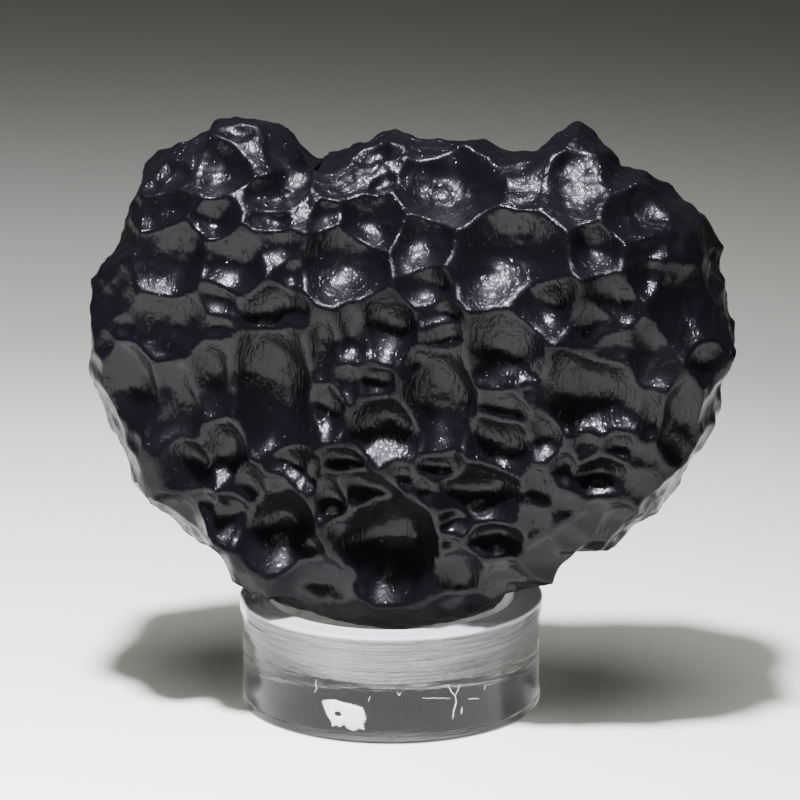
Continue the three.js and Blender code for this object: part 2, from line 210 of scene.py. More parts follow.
def lump_level(p):
    """1 on the skin: a power sum of the reach in the outline and the share of the depth.

    The outline's dips come in only towards the rim, by the reach's share of the power sum.
    """
    radius, angle = np.hypot(p[:, 0], p[:, 2]), np.arctan2(p[:, 2], p[:, 0])
    power = squareness(angle)
    depth = np.where(p[:, 1] < 0, FRONT_DEPTH, BACK_DEPTH)
    through = (np.abs(p[:, 1]) / depth) ** power
    calm = calm_radius(angle)
    share = (radius / calm) ** power
    share = share / (share + through)
    reach = radius / (calm + (outline_radius(angle) - calm) * share**RIM_POWER)
    return (reach**power + through) ** (1 / power)


def skin_point(direction):
    """The point of the skin in a direction: the direction over its own level."""
    return direction / lump_level(direction)[:, None]


def skin_normal(p):
    """The outward normal: the slope of the level along x, y and z, scaled to length one."""
    steps = SLOPE_STEP * np.eye(3)
    slope = np.stack([lump_level(p + step) - lump_level(p - step) for step in steps], axis=1)
    return slope / np.linalg.norm(slope, axis=1, keepdims=True)


print("normal at the front:", skin_normal(np.array([[3.0, -FRONT_DEPTH, 3.0]])).round(2))

# %% The slab turned, its right end forward
SLAB_TURN = math.radians(10.8)
GUESS_ROUNDS = 3


def front_point(x, z):
    """The point of the front face seen at x, z once the slab is turned: y guessed, then mended."""
    y = np.full(len(x), -FRONT_DEPTH)
    for _ in range(GUESS_ROUNDS):
        along = (x - y * math.sin(SLAB_TURN)) / math.cos(SLAB_TURN)
        angle = np.arctan2(z, along)
        power = squareness(angle)
        rest = np.clip(1 - (np.hypot(along, z) / outline_radius(angle)) ** power, 0, None)
        y = -FRONT_DEPTH * rest ** (1 / power)
    return np.stack([along, y, z], axis=1)


def turned(p):
    """Slab points carried round the upright axis, so that the slab's right end comes forward."""
    c, s = math.cos(SLAB_TURN), math.sin(SLAB_TURN)
    return p @ np.array([[c, -s, 0], [s, c, 0], [0, 0, 1]])


print("the right end comes to", turned(np.array([[OUTLINE[0, 1], 0, 0]])).round(1), "mm")


# %% [markdown]
# ## The pits of the front
# Etching starts at flaws in the glass and eats outwards from each, so the pits
# have no order, and their pattern is what tells one stone from another. They
# could be scattered by a rule, but then it would be another stone. So each pit
# of the front is written down: its place right and up of the stone's middle,
# its half width and half height, its turn and its depth. The list holds plain
# bowls, and WIDEN and DEEPEN then carry all of them further out and in.

# %% The front pits: right, up, half width, half height in mm, turn in degrees, depth in mm
FRONT_PITS = np.array([
    # left ear and left shoulder
    [-18.6, 21.8, 2.7, 2.5, 30, 1.6],
    [-15.3, 22.9, 0.9, 1.6, -20, 0.5],
    [-16.8, 25.0, 1.8, 0.9, 0, 0.6],
    [-23.9, 21.0, 2.6, 1.8, 25, 0.9],
    [-24.4, 17.8, 2.7, 1.9, 15, 0.9],
    [-19.5, 17.3, 2.6, 2.1, 10, 1.5],
    [-23.5, 12.8, 3.4, 3.7, 20, 2.0],
    [-12.6, 20.4, 3.8, 2.1, 33, 1.8],
    [-13.7, 17.6, 1.7, 1.6, 0, 1.0],
    [-17.3, 13.0, 3.0, 2.6, 20, 1.6],
    [-28.6, 13.6, 1.9, 2.6, 0, 1.1],
    [-29.5, 9.2, 1.6, 2.2, 0, 0.9],
    [-8.6, 20.9, 1.9, 1.9, 0, 0.9],
    [-12.8, 14.4, 1.9, 1.9, 0, 1.0],
    [-11.6, 12.0, 1.6, 1.9, 0, 0.9],
    # the saddle at the top
    [-3.6, 23.0, 2.5, 1.2, 15, 1.2],
    [-2.6, 20.7, 1.9, 1.3, 0, 1.0],
    [-3.9, 17.3, 2.8, 2.7, 0, 1.5],
    [-8.2, 16.7, 1.9, 1.4, 10, 0.9],
    [-6.8, 13.0, 3.5, 3.2, 0, 1.8],
    [3.8, 20.6, 4.8, 3.6, 0, 2.2],
    [1.2, 15.2, 2.0, 2.6, -20, 1.0],
    # right ear and right shoulder
    [8.9, 14.6, 4.3, 4.4, -25, 2.3],
    [12.2, 10.2, 2.6, 2.5, 0, 1.7],
    [14.5, 25.0, 1.3, 0.8, 0, 0.5],
    [17.3, 24.6, 1.2, 1.9, 20, 0.8],
    [15.0, 21.5, 3.7, 3.9, 0, 1.5],
    [14.9, 23.6, 1.3, 1.2, 0, 1.3],
    [17.3, 15.4, 2.3, 2.4, 10, 1.6],
    [11.0, 21.5, 2.5, 2.7, 0, 1.1],
    [21.6, 18.3, 3.1, 2.6, 0, 1.5],
    [21.7, 22.3, 1.4, 0.9, -20, 0.5],
    [24.9, 19.2, 1.6, 1.8, 0, 0.7],
    [28.2, 16.6, 2.2, 3.4, 15, 1.0],
    [23.0, 15.2, 2.5, 1.6, 20, 1.1],
    [22.4, 12.9, 1.9, 2.4, -20, 1.5],
    [26.3, 10.2, 3.6, 4.4, 0, 2.1],
    [19.4, 10.4, 2.2, 2.0, 0, 1.1],
    [17.4, 8.2, 2.5, 1.6, 15, 0.9],
    [18.6, 6.0, 2.6, 1.6, 10, 0.9],
    [22.4, 5.8, 2.6, 3.2, 0, 1.4],
    [28.3, 4.4, 1.9, 2.0, 0, 1.2],
    [25.4, 6.3, 0.9, 1.1, 0, 0.6],
    # left side
    [-18.6, 9.2, 2.2, 1.6, 0, 1.0],
    [-18.9, 6.6, 1.7, 1.0, 0, 0.6],
    [-23.8, 6.6, 3.7, 3.4, 0, 1.7],
    [-28.3, 6.4, 1.5, 2.0, 0, 0.9],
    [-27.6, 0.2, 2.7, 3.7, 0, 1.8],
    [-22.9, -0.9, 2.4, 4.3, 5, 1.6],
    [-19.5, 1.3, 2.4, 3.9, 0, 1.8],
    [-18.6, 4.9, 1.4, 0.9, 0, 0.5],
    # middle
    [-13.6, 0.6, 4.0, 6.4, 4, 3.0],
    [-13.6, 8.3, 3.3, 2.3, 10, 1.8],
    [-8.8, 4.6, 1.6, 3.4, 0, 1.4],
    [-8.6, -0.6, 1.6, 2.2, -10, 1.3],
    [-6.1, 6.0, 1.7, 2.6, 0, 1.3],
    [-6.2, 1.9, 1.1, 1.3, 0, 0.7],
    [-2.4, 7.0, 2.3, 2.6, 0, 1.5],
    [-3.3, 2.0, 1.5, 1.6, 0, 0.9],
    [-2.6, -2.6, 3.4, 2.6, -10, 1.8],
    [2.7, 0.4, 3.2, 5.2, 0, 2.5],
    [0.4, 3.8, 1.5, 1.5, 0, 1.3],
    [2.7, 6.4, 1.9, 1.4, 0, 1.1],
    [1.6, 11.0, 1.9, 1.5, 0, 1.0],
    [2.4, 8.7, 1.8, 1.2, 0, 0.8],
    [8.2, 5.2, 3.1, 3.3, 0, 1.9],
    [11.2, 3.4, 1.5, 1.5, 0, 0.9],
    [11.1, 1.4, 0.9, 0.9, 0, 0.6],
    [8.2, 0.1, 2.8, 1.6, -15, 1.3],
    # right side
    [16.9, 1.3, 4.6, 3.7, 0, 2.4],
    [12.3, -2.8, 1.9, 2.1, 0, 1.3],
    [7.8, -3.7, 3.5, 2.5, -20, 2.0],
    [16.2, -3.5, 1.7, 1.6, 0, 1.0],
    [19.4, -3.8, 1.9, 1.5, 0, 1.0],
    [17.7, -6.7, 2.7, 2.0, 5, 1.6],
    [14.6, -5.9, 1.4, 1.7, 0, 1.0],
    [22.5, -0.6, 1.4, 2.7, 5, 1.0],
    [25.3, -1.5, 1.8, 3.5, -5, 1.5],
    [22.6, -4.7, 2.1, 1.7, 20, 0.5],
    [21.6, -7.6, 1.8, 1.4, 20, 0.4],
    # lower face
    [-21.3, -7.4, 2.1, 2.6, 15, 1.5],
    [-18.5, -6.2, 2.5, 3.2, 10, 1.8],
    [-16.2, -9.4, 2.2, 2.6, 30, 1.3],
    [-17.6, -12.2, 1.9, 1.8, 0, 1.0],
    [-20.6, -11.2, 1.7, 1.2, -20, 0.8],
    [-22.5, -12.9, 1.9, 1.6, -20, 0.8],
    [-13.2, -13.2, 3.2, 3.7, 25, 2.3],
    [-13.3, -9.0, 1.5, 1.1, 10, 0.8],
    [-12.0, -6.4, 2.3, 1.8, -15, 1.4],
    [-9.9, -7.6, 1.0, 1.5, -20, 0.8],
    [-10.3, -15.2, 1.5, 2.1, 25, 1.1],
    [-9.1, -18.6, 3.2, 2.3, -15, 1.0],
    [-6.2, -18.2, 0.9, 1.4, 15, 0.7],
    [-4.0, -9.2, 3.0, 2.0, -20, 1.6],
    [-2.4, -14.6, 4.7, 4.8, 10, 2.8],
    [-8.0, -9.9, 1.9, 2.1, 0, 1.1],
    [-6.4, -13.2, 1.7, 1.9, 0, 1.0],
    [-6.1, -5.9, 2.0, 1.2, -15, 0.9],
    [2.9, -6.2, 2.4, 1.4, -15, 1.3],
    [0.9, -8.6, 1.1, 1.2, 0, 0.7],
    [-0.9, -7.2, 1.2, 1.0, 0, 0.6],
    [6.3, -8.9, 4.1, 2.8, 12, 2.1],
    [3.9, -11.7, 1.9, 1.2, -15, 1.1],
    [3.6, -13.7, 1.4, 0.8, -20, 0.7],
    [8.0, -13.5, 2.6, 1.6, 5, 1.4],
    [4.4, -17.3, 2.1, 2.5, 0, 1.1],
    [8.6, -17.0, 2.1, 1.7, 0, 0.5],
    [11.9, -8.0, 1.8, 1.9, 0, 0.8],
    [11.4, -11.4, 1.7, 1.6, 0, 0.5],
    [14.2, -9.6, 1.9, 1.5, 0, 0.5],
    [12.6, -14.2, 1.8, 1.4, 10, 0.4],
    [17.2, -10.9, 2.2, 1.4, 20, 0.4],
    [19.6, -11.6, 1.8, 1.6, 30, 0.5],
    [20.0, -14.6, 2.0, 1.5, 30, 0.5],
    [17.0, -15.8, 2.1, 1.6, 20, 0.5],
    [13.9, -17.6, 1.9, 1.4, 10, 0.4],
    [10.2, -19.8, 2.3, 1.4, 0, 0.5],
    [5.2, -21.2, 2.6, 1.3, 0, 0.5],
    [15.4, -13.0, 1.7, 1.3, 20, 0.35],
])
print(len(FRONT_PITS), "front pits are listed")


# %% A frame on the skin for each pit
def pits_at(middle, half_width, half_height, turn, depth):
    """Pits as arrays: middles, and an orthonormal frame on the skin at each, turned about it."""
    out = skin_normal(middle)
    flat = np.stack([-out[:, 1], out[:, 0], np.zeros(len(out))], axis=1)
    flat /= np.linalg.norm(flat, axis=1, keepdims=True)
    steep = np.cross(out, flat)
    c, s = np.cos(turn)[:, None], np.sin(turn)[:, None]
    return dict(middle=middle, out=out, along=flat * c + steep * s, up=steep * c - flat * s,
                half_width=half_width, half_height=half_height, depth=depth)


# %% The front pits in their frames, as seen from a little above the front
LOOK_DOWN = math.radians(13.3)
LEAST_SEEN = 0.6
WIDEN = 1.18
DEEPEN = 1.25
DEEPER_BELOW = 0.5
DEEPEST_BELOW = 12.0


def seen_share(direction):
    """The share of a length along a direction that shows from the front, a little above."""
    level = math.cos(LOOK_DOWN)
    look = [-level * math.sin(SLAB_TURN), level * math.cos(SLAB_TURN), -math.sin(LOOK_DOWN)]
    return np.sqrt(np.clip(1 - (direction @ np.array(look)) ** 2, LEAST_SEEN**2, 1))


def front_pits():
    """The listed pits, drawn out where the face turns away, and deeper low on the stone."""
    x, z, half_width, half_height, turn, depth = FRONT_PITS.T
    deepen = DEEPEN + DEEPER_BELOW * np.clip(-z / DEEPEST_BELOW, 0, 1)
    pits = pits_at(front_point(x, z), WIDEN * half_width, WIDEN * half_height, np.radians(turn),
                   deepen * depth)
    pits["half_width"] = pits["half_width"] / seen_share(pits["along"])
    pits["half_height"] = pits["half_height"] / seen_share(pits["up"])
    return pits


print("deepest front pit", round(front_pits()["depth"].max(), 1), "mm below the plain skin")

# %% [markdown]
# ## The pits of the sides and back
# These are about as large as the front's, but no one of them has to be in its
# own place, so a rule lays them out. Steps of the golden angle spread points
# evenly over a globe with no rows that show, and each point is then shaken a
# little. The dice are the leftovers of multiples of the golden number, so they
# need no random numbers and fall the same way every time.

# %% Directions spread by the golden angle
GOLDEN = (math.sqrt(5) - 1) / 2
SHAKE = 2.2
SLAB_REACH = np.array([30.0, 14.0, 27.0])


def dice(i, factor):
    """A number from 0 to 1 for each index: the fraction left of index times a golden factor."""
    return (i * GOLDEN * factor) % 1


def golden_sphere(count):
    """Directions by the golden angle: equal steps in height, one golden share of a turn each."""
    i = np.arange(count)
    height = 1 - 2 * (i + 0.5) / count
    ring = np.sqrt(1 - height**2)
    angle = TAU * GOLDEN * i
    return np.stack([ring * np.cos(angle), ring * np.sin(angle), height], axis=1), i


def slab_directions(count, front):
    """Golden-angle directions behind a share of the depth, shaken, then stretched like the slab."""
    direction, i = golden_sphere(count)
    shake = np.stack([dice(i, 2.3), dice(i, 4.9), dice(i, 9.7)], axis=1) - 0.5
    direction = direction + shake * SHAKE / math.sqrt(count)
    kept = direction[:, 1] >= front
    return direction[kept] * SLAB_REACH, i[kept]


print("first three throws:", dice(np.arange(1, 4), 1.0).round(2))

# %% Large pits round the sides and back, small pits anywhere
WRAP_COUNT = 310
WRAP_FRONT = -0.62
WRAP_SMALLEST = 1.9
WRAP_SPREAD = 2.8
WRAP_DEPTH_SHARE = 0.25
DEEPER_BEHIND = 0.02


def wrap_pits():
    """Pits as golden-angle directions: sizes from the dice, depth a share of the half width."""
    direction, i = slab_directions(WRAP_COUNT, WRAP_FRONT)
    half_width = WRAP_SMALLEST + WRAP_SPREAD * dice(i, 7.3) ** 2
    half_height = half_width * (0.8 + 0.5 * dice(i, 3.1))
    middle = skin_point(direction)
    share = WRAP_DEPTH_SHARE + DEEPER_BEHIND * np.clip(middle[:, 1], 0, None)
    return pits_at(middle, half_width, half_height, TAU * dice(i, 5.7), share * half_width)


def small_pits(count, smallest, spread, depth_share, factor, front=-1.0):
    """Small pits: many near the smallest half width, few near smallest plus spread."""
    direction, i = slab_directions(count, front)
    half_width = smallest + spread * dice(i, factor) ** 3
    half_height = half_width * (0.75 + 0.6 * dice(i, factor * 0.37))
    return pits_at(skin_point(direction), half_width, half_height, TAU * dice(i, factor * 1.9),
                   depth_share * half_width)


print(len(wrap_pits()["depth"]), "large pits round the sides and back")


# %% [markdown]
# ## How a pit eats in
# One pit is a bowl: deepest in its middle, nothing at its rim, and steepest
# there. Where two bowls meet, the deeper one wins and leaves a crest, which
# etching has rounded by a fraction of a millimetre. A displacement texture
# could draw such cells as well, but not each one in its own place. Small pits
# are added on top, so that they also show inside the large ones.

# %% Depth of the pits at each point
BOWL_REACH = 1.5
NEAR_REACH = 1.4


def deeper(a, b, rounding):
    """The greater of two depths, with the corner between them rounded over a short distance."""
    near = np.clip(rounding - np.abs(a - b), 0, None) / rounding
    return np.maximum(a, b) + rounding * near**2 / 4


def pit_depth(p, pits, rounding, total):
    """Depth at each point: the deepest bowl there, each its depth times 1 - squared reach.

    The reach is the distance as a share of the half sizes, and grows off the skin as well.
    """
    total = total.copy()
    for k in range(len(pits["depth"])):
        away = p - pits["middle"][k]
        limit = BOWL_REACH * max(pits["half_width"][k], pits["half_height"][k])
        near = np.flatnonzero(np.einsum("ij,ij->i", away, away) < (NEAR_REACH * limit) ** 2)
        away = away[near]
        across = away @ pits["along"][k] / pits["half_width"][k]
        over = away @ pits["up"][k] / pits["half_height"][k]
        off = away @ pits["out"][k] / limit
        reach = across**2 + over**2 + off**2
        bowl = pits["depth"][k] * (1 - reach)
        total[near] = deeper(total[near], bowl, rounding)
    return total


print("depths of 1.0 and 0.9 mm meet at", deeper(1.0, 0.9, 0.15).round(3), "mm")

# %% From the skin to the pitted surface
CREST_RISE = 1.35
CREST_ROUNDING = 0.15
SMALL_ROUNDING = 0.05
BEND = 0.35
FOOT_PLAIN = -23.5
FOOT_BLEND = 3.5
FOOT_SHARE = 0.15
CREST_FROM = 0.35
CREST_FADE = 0.7
# count, smallest half width and spread in mm, depth as a share of it, factor of the dice
FILLING_PITS = (520, 1.2, 1.2, 0.25, 7.3)
FILLING_FRONT = -0.7
SMALL_PITS = [(2600, 0.75, 0.9, 0.13, 5.3), (1500, 0.42, 1.1, 0.2, 11.3)]


def wobble(p):
    """A smooth shift in millimetres: sums of sines in mixed directions, to bend the bowls' rims."""
    x, y, z = p.T
    a = np.sin(0.83 * x + 0.61 * z + 1.3 * np.sin(0.47 * z - 0.29 * y))
    b = np.sin(0.71 * z - 0.92 * y + 1.1 * np.sin(0.53 * x + 0.37 * z))
    c = np.sin(1.07 * y + 0.66 * x - 0.58 * z + 2.0)
    return np.stack([0.7 * b + 0.3 * c, 0.4 * a, 0.7 * a - 0.3 * c], axis=1)


def stone_surface(direction):
    """Skin point moved in along its normal by its pits, and 0 in a bowl to 1 on a crest.

    The relief is shallow on the foot, which stays plain so that it clears the stand's seat.
    """
    skin = skin_point(direction)
    bent = skin + BEND * wobble(skin)
    large = np.full(len(skin), -CREST_RISE)
    for pits in (front_pits(), wrap_pits(), small_pits(*FILLING_PITS, FILLING_FRONT)):
        large = pit_depth(bent, pits, CREST_ROUNDING, large)
    large = large * np.clip((skin[:, 2] - FOOT_PLAIN) / FOOT_BLEND, FOOT_SHARE, 1)
    small = np.zeros(len(skin))
    for layer in SMALL_PITS:
        small = pit_depth(skin, small_pits(*layer), SMALL_ROUNDING, small)
    places = turned(skin - (large + small)[:, None] * skin_normal(skin)) + STONE_MIDDLE
    crest = np.clip((CREST_FROM - large) / CREST_FADE, 0, 1)
    return places, crest


print("middle of the front:", stone_surface(np.array([[0.0, -1.0, 0.0]]))[0].round(2), "mm")


# %% [markdown]
# ## A grid that wraps the stone
# A globe's grid would crowd at its poles. A box's six faces, each with its own
# grid, cover a lump evenly: every grid point is pushed from the middle out to
# the skin. Points on shared edges fall together and are merged, so the mesh is
# closed. The cells are about 0.35 mm, the finest that keeps the piece under
# 200,000 triangles, and the smallest pits are two or three cells wide.

# %% The box of directions
CELLS = (184, 62, 154)
BOX_HALF = np.array([30.0, 8.4, 27.0])


def box_directions():
    """Points of a box's six faces, spaced so that the angle between neighbours is even."""
    points, faces, first = [], [], 0
    for axis in range(3):
        for side in (-1, 1):
            u_axis, v_axis = (axis + 1) % 3, (axis + 2) % 3
            u = np.tan(np.linspace(-1, 1, CELLS[u_axis] + 1) * math.pi / 4)
            v = np.tan(np.linspace(-1, 1, CELLS[v_axis] + 1) * math.pi / 4)
            place = np.zeros((len(v), len(u), 3))
            place[..., axis] = side
            place[..., u_axis] = u
            place[..., v_axis] = v[:, None]
            quads = grid_faces(len(v), len(u)) + first
            faces.append(quads if side > 0 else quads[:, ::-1])
            points.append(place.reshape(-1, 3) * BOX_HALF)
            first += place.shape[0] * place.shape[1]
    return np.concatenate(points), np.concatenate(faces)


def merged(points, faces):
    """Points that fall together made one, and the faces renumbered to match."""
    key = np.round(points, 6)
    _, keep, renumber = np.unique(key, axis=0, return_index=True, return_inverse=True)
    return points[keep], renumber.ravel()[faces]


directions, stone_faces = merged(*box_directions())
print("box of", len(directions), "directions and", len(stone_faces), "quads")

# %% Work out the stone
stone_points, stone_crest = stone_surface(directions)
print("stone box mm", stone_points.min(axis=0).round(2), stone_points.max(axis=0).round(2))
print("packed box mm", [[round(c / MM, 2) for c in corner] for corner in STONE_BOX])

# %% [markdown]
# ## Tektite glass
# A tektite is silica glass, black in bulk, and its skin was etched in the
# ground, not polished. The etching leaves fine flow lines, grains and pin pits,
# and two kinds of gloss. Most of the light comes off a dull, calm surface, and
# some off small bright facets in it. One roughness can't give both, so the
# shader's base is the dull gloss and its coat, with a stronger bump, is the
# sparks.
#
# Fresh glass of this kind has an IOR of about 1.5. Here both are lower, as an
# etched skin scatters part of what it would mirror. A mark on the mesh tells
# how near a point is to a crest: there the glass is worn and grainy, and the
# film of sparks is thin.

# %% Sizes and glosses of the skin
# Spacings: flow lines 0.67 mm across and 2 mm along, grains 0.8 mm, pin pits
# 1.4 mm. Etching goes finer than this, but finer marks would not show.
PATCHES = 0.15 * PER_MM
FLOW_LINES = np.array([1.5, 1.5, 0.5]) * PER_MM
GRAINS = 1.3 * PER_MM
PIN_PITS = 0.7 * PER_MM
CALM_DEPTH = 0.04 * MM
FLOW_DEPTH = 0.18 * MM
GRAIN_DEPTH = 0.1 * MM
PIN_DEPTH = 0.12 * MM
STREAKED_FROM = 14 * MM
STREAKED_TO = 32 * MM
SKIN_IOR = 1.18
FILM_IOR = 1.28
print("flow lines are", (1 / FLOW_LINES / MM).round(2), "mm apart")


# %% Tektite glass, etched in the ground to a broken gloss
def tektite_glass():
    """Black glass: a dull base, and a coat of sparks from flow lines, grains and pin pits."""
    material, tree = new_material("etched_tektite_glass")
    place = add_node(tree, "ShaderNodeTexCoord").outputs["Object"]
    patches = add_node(tree, "ShaderNodeTexNoise", {"Vector": place}, Scale=PATCHES, Detail=2.0)
    height = add_node(tree, "ShaderNodeSeparateXYZ", {"Vector": place})
    upper = add_node(tree, "ShaderNodeMapRange", {"Value": height.outputs["Z"]},
                     From_Min=STREAKED_FROM, From_Max=STREAKED_TO, To_Min=-0.2, To_Max=0.15)
    where = add_node(tree, "ShaderNodeMath", {0: patches.outputs[0], 1: upper.outputs[0]})
    streaked = add_node(tree, "ShaderNodeMapRange", {"Value": where.outputs[0]},
                        From_Min=0.35, From_Max=0.6, To_Min=0.3, To_Max=1.0)
    flow_place = add_node(tree, "ShaderNodeMapping", {"Vector": place}, Scale=FLOW_LINES)
    flow = add_node(tree, "ShaderNodeTexNoise", {"Vector": flow_place.outputs[0]},
                    Scale=1.0, Detail=1.5, Distortion=1.2)
    grains = add_node(tree, "ShaderNodeTexNoise", {"Vector": place}, Scale=GRAINS, Detail=2.0)
    pins = add_node(tree, "ShaderNodeTexVoronoi", {"Vector": place}, Scale=PIN_PITS)
    pin = add_node(tree, "ShaderNodeMapRange", {"Value": pins.outputs["Distance"]},
                   From_Min=0.0, From_Max=0.17, To_Min=0.0, To_Max=1.0)
    crest = add_node(tree, "ShaderNodeAttribute", settings={"attribute_name": "crest"})
    rough = add_node(tree, "ShaderNodeMapRange", {"Value": patches.outputs[0]},
                     From_Min=0.35, From_Max=0.65, To_Min=0.30, To_Max=0.42)
    grainy = add_node(tree, "ShaderNodeMath",
                      {0: crest.outputs["Fac"], 1: 2.2, 2: streaked.outputs[0]},
                      {"operation": "MULTIPLY_ADD"})
    film = add_node(tree, "ShaderNodeMapRange", {"Value": crest.outputs["Fac"]},
                    From_Min=0.0, From_Max=1.0, To_Min=0.48, To_Max=0.12)
    calm = add_node(tree, "ShaderNodeBump", {"Height": flow.outputs[0]},
                    Strength=1.0, Distance=CALM_DEPTH)
    glint = add_node(tree, "ShaderNodeBump",
                     {"Height": flow.outputs[0], "Strength": streaked.outputs[0]},
                     Distance=FLOW_DEPTH)
    glint = add_node(tree, "ShaderNodeBump",
                     {"Height": grains.outputs[0], "Normal": glint.outputs[0],
                      "Strength": grainy.outputs[0]}, Distance=GRAIN_DEPTH)
    glint = add_node(tree, "ShaderNodeBump",
                     {"Height": pin.outputs[0], "Normal": glint.outputs[0]},
                     Strength=1.0, Distance=PIN_DEPTH)
    shader = add_node(tree, "ShaderNodeBsdfPrincipled",
                      {"Roughness": rough.outputs[0], "Normal": calm.outputs[0],
                       "Coat Normal": glint.outputs[0], "Coat Weight": film.outputs[0]},
                      Base_Color=linear("#08080b"), IOR=SKIN_IOR,
                      Coat_Roughness=0.17, Coat_IOR=FILM_IOR)
    add_node(tree, "ShaderNodeOutputMaterial", {"Surface": shader.outputs[0]})
    return material


# %% Make the stone
stone = mesh_piece("tektite_stone", stone_points, stone_faces.tolist(), tektite_glass())
crest_mark = stone.data.attributes.new("crest", "FLOAT", "POINT")
crest_mark.data.foreach_set("value", stone_crest)
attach(stone, "root")
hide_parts("tektite")
print(stone.name, "has", 2 * len(stone.data.polygons), "triangles")

# %% [markdown]
# ## The display stand
# The real stand is turned from clear acrylic rod, so it is one profile spun
# about the upright axis. It could be a Screw modifier on a drawn curve, but the
# arrays let the knocked edge be worked in afterwards. The corners are small
# curves, not sharp points, because they catch the light. Its width and height
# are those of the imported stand, and the rest is measured inward from them.

# %% The section of the stand
LIP_OUT = 0.25
LIP_HEIGHT = 1.6
STAND_RADIUS = round(STAND_BOX[1].x / MM, 3) - LIP_OUT
STAND_HEIGHT = round(STAND_BOX[1].z / MM, 3)
FOOT_BEAD = 0.12
FOOT_HEIGHT = 0.9
FOOT_FILLET = 0.06
LIP_FILLET = 0.12
SEAT_EDGE = 0.2
EDGE_BEVEL = 0.3
SEAT_TOP_RADIUS = 12.5
SEAT_FLOOR_RADIUS = 9.0
SEAT_FLOOR_Z = 4.7
CORNER_STEPS = 6
CAP_RADIUS = 0.5
GUARD = 0.02


def stand_corners():
    """Corners of the section, each [radius, height, setback of its rounding], from the foot in."""
    lip, foot = STAND_RADIUS + LIP_OUT, STAND_RADIUS + FOOT_BEAD
    lip_foot = STAND_HEIGHT - LIP_HEIGHT
    return np.array([
        [foot, 0, EDGE_BEVEL],
        [foot, FOOT_HEIGHT - 0.15, FOOT_FILLET],
        [STAND_RADIUS, FOOT_HEIGHT, FOOT_FILLET],
        [STAND_RADIUS, lip_foot, LIP_FILLET],
        [lip, lip_foot + LIP_OUT, LIP_FILLET],
        [lip, STAND_HEIGHT, EDGE_BEVEL],
        [SEAT_TOP_RADIUS, STAND_HEIGHT, SEAT_EDGE],
        [SEAT_FLOOR_RADIUS, SEAT_FLOOR_Z, EDGE_BEVEL],
    ])


def rounded(corners):
    """Each corner swapped for a curve: the square Bezier between points set back along its sides.

    One more point just past each end keeps the smooth shading of the flat faces flat.
    """
    ends = [[CAP_RADIUS, corners[0, 1]]], [[CAP_RADIUS, corners[-1, 1]]]
    path = np.vstack([ends[0], corners[:, :2], ends[1]])
    t = np.linspace(0, 1, CORNER_STEPS)[:, None]
    rows = [path[:1]]
    for k, back in enumerate(corners[:, 2], start=1):
        before, corner, after = path[k - 1:k + 2]
        to_before = (before - corner) / np.linalg.norm(before - corner)
        to_after = (after - corner) / np.linalg.norm(after - corner)
        start, end = corner + to_before * back, corner + to_after * back
        curve = (1 - t) ** 2 * start + 2 * t * (1 - t) * corner + t**2 * end
        rows += [start + to_before * GUARD, curve, end + to_after * GUARD]
    return np.vstack(rows + [path[-1:]])


stand_section = rounded(stand_corners())
print("stand section:", len(stand_section), "points")

# %% Spin the section
STAND_STEPS = 240


def ring_faces(rows, columns):
    """Quads of a grid whose last column is joined to its first."""
    corner = np.arange(rows - 1)[:, None] * columns + np.arange(columns)
    beside = np.arange(rows - 1)[:, None] * columns + (np.arange(columns) + 1) % columns
    quads = np.stack([corner, beside, beside + columns, corner + columns], axis=2)
    return quads.reshape(-1, 4).tolist()


def spun(section):
    """Each section point carried round the axis: radius times cosine and sine, at its height."""
    turn = np.arange(STAND_STEPS) * TAU / STAND_STEPS
    radius, height = section[:, :1], section[:, 1:]
    places = [radius * np.cos(turn), radius * np.sin(turn), height + 0 * turn]
    return np.stack(places, axis=2).reshape(-1, 3)


def spun_faces(rows):
    """The quads between the rings, and one flat many-sided face over each end ring."""
    low = list(range(STAND_STEPS))[::-1]
    high = list(range((rows - 1) * STAND_STEPS, rows * STAND_STEPS))
    return ring_faces(rows, STAND_STEPS) + [low, high]


print("stand grid:", spun(stand_section).shape[0], "points")

# %% [markdown]
# ## The chip in the lip
# A knock has crumbled the lip at the left over some six millimetres. A Boolean
# cut would leave clean walls, and crumbled acrylic has none, so the points of
# the lip are pushed in and down instead, unevenly.

# %% Knock the chip out of the lip
CHIP_MIDDLE = math.radians(191)
CHIP_HALF_TURN = math.radians(11)
CHIP_DEPTH = 0.32
CHIP_REACH = 1.1
CHIP_SINK = 0.6


def chipped(points):
    """Lip points moved in and down: depth times 1 - reach^2, crumbled by two sines of the turn."""
    turn = np.arctan2(points[:, 1], points[:, 0]) % TAU
    along = (turn - CHIP_MIDDLE) / CHIP_HALF_TURN
    lip = [STAND_RADIUS + LIP_OUT, STAND_HEIGHT]
    away = np.stack([np.hypot(points[:, 0], points[:, 1]), points[:, 2]], axis=1) - lip
    off = np.linalg.norm(away, axis=1) / CHIP_REACH
    crumble = 0.7 + 0.3 * np.sin(47 * turn) * np.sin(113 * turn + 1)
    depth = CHIP_DEPTH * crumble * np.clip(1 - along**2 - off**2, 0, None)
    inward = -points * [1, 1, 0] / STAND_RADIUS
    return points + depth[:, None] * (inward + [0, 0, -CHIP_SINK])


stand_points = chipped(spun(stand_section))
print("stand box mm", stand_points.min(axis=0).round(2), stand_points.max(axis=0).round(2))


